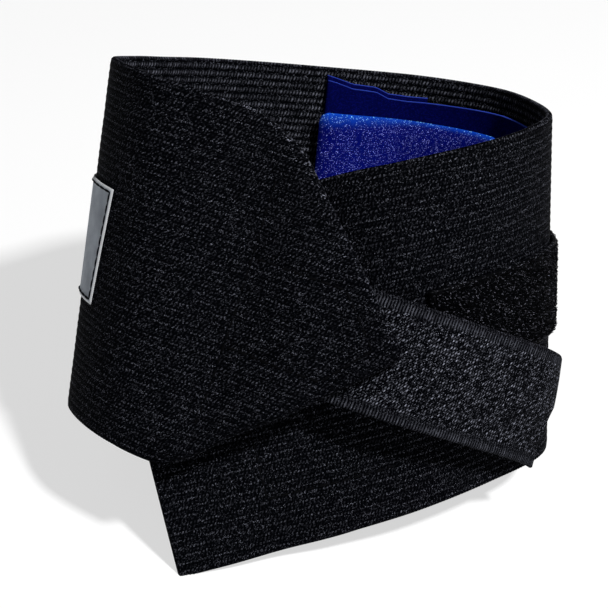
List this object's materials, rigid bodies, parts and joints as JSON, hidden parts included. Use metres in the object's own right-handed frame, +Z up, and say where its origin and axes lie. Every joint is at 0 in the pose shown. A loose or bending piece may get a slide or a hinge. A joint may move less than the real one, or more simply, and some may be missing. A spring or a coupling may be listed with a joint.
{
  "type": "wrist support",
  "caption": "Wide ribbed elastic wrist support wrapped into a slanted loop, with a pointed overlapping flap, a narrow closing strap, a sewn label and a padded inside.",
  "frame": {"origin": "middle of the bounding box, on the floor that the support stands on", "axes": "+Z up from the floor, +X to the right of the picture, front with the crossing ends towards -Y"},
  "size_m": [0.1083, 0.1075, 0.0931],
  "materials": {
    "elastic": "ribbed woven elastic, matt black",
    "webbing": "twill webbing, charcoal",
    "hook": "hook tape, black",
    "loop": "brushed loop tape, black",
    "label": "woven label, grey",
    "lining": "smooth knit, dark blue",
    "pad": "brushed knit over foam, blue"
  },
  "bodies": {
    "root": {"band": "elastic", "strap": "webbing", "hook_tab": "hook", "loop_patch": "loop", "label": "label", "lining": "lining", "pad": "pad"}
  },
  "joints": []
}
